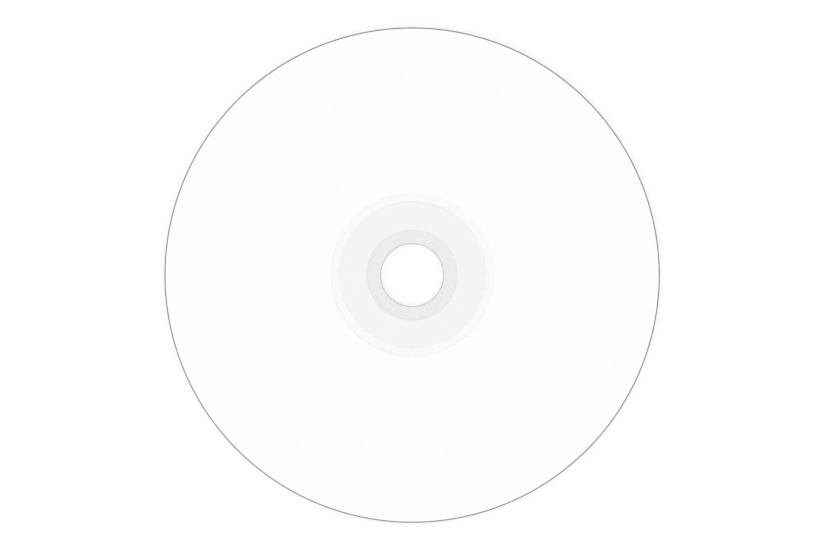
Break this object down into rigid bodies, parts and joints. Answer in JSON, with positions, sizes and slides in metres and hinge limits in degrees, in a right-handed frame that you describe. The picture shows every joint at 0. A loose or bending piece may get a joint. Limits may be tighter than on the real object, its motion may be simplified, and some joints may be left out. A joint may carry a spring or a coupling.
{
  "type": "compact disc",
  "caption": "Optical disc, 12 cm across: a clear moulded disc with a centre hole, a metal film, a lacquer coat and a blank white label that reaches in to the hub.",
  "frame": {"origin": "on the axis of the hole, at the level of the surface that the disc lies on, which touches the crest of its stacking ring", "axes": "+Z along the axis of the hole, out of the label side. The disc is a body of revolution, so X and Y are any two directions across it."},
  "size_m": [0.12, 0.12, 0.0015],
  "materials": {
    "clear_plastic": "clear moulded polycarbonate, polished on both faces",
    "metal_film": "vacuum-coated mirror",
    "lacquer": "clear cured lacquer",
    "label_ink": "smooth matte white, made to be printed or written on"
  },
  "bodies": {
    "root": {"clear_disc": "clear_plastic", "mirror_film": "metal_film", "lacquer_coat": "lacquer", "white_label": "label_ink"}
  },
  "joints": []
}
